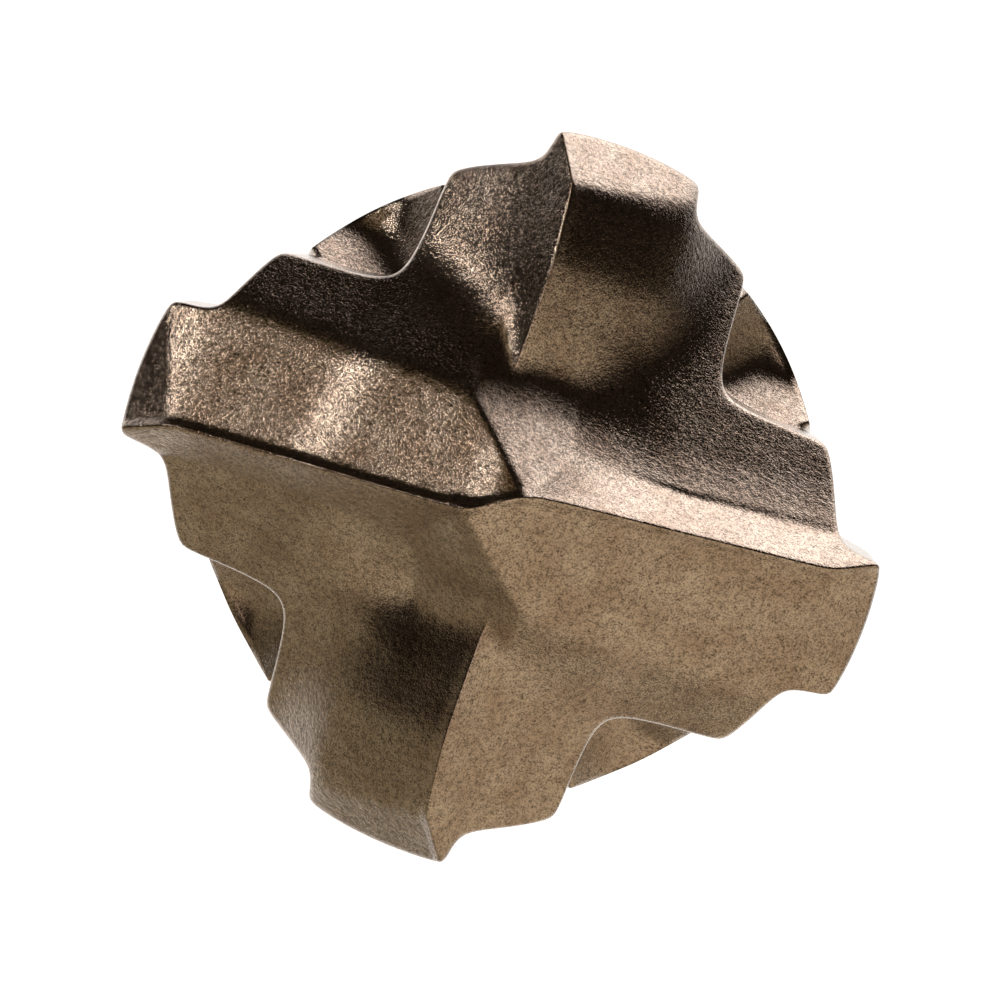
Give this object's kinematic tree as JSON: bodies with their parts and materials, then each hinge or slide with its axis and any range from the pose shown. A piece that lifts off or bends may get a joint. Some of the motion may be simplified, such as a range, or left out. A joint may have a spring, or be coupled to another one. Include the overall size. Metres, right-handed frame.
{
  "type": "sds plus drill bit",
  "caption": "Hammer drill bit with a slotted quick-change shank, a twin spiral flute and a cross-shaped carbide head with a centring tip.",
  "frame": {"origin": "centre of the flat end of the shank, which the bit stands on", "axes": "+Z along the drill axis from shank to tip, X along the pair of main cutting edges, Y along the pair of second cutting edges"},
  "size_m": [0.012, 0.0116, 0.16],
  "materials": {
    "carbide": "sintered tungsten carbide, fine grain",
    "steel": "blasted and hardened steel, satin"
  },
  "bodies": {
    "root": {"carbide_head": "carbide", "drill_body": "steel"}
  },
  "joints": []
}
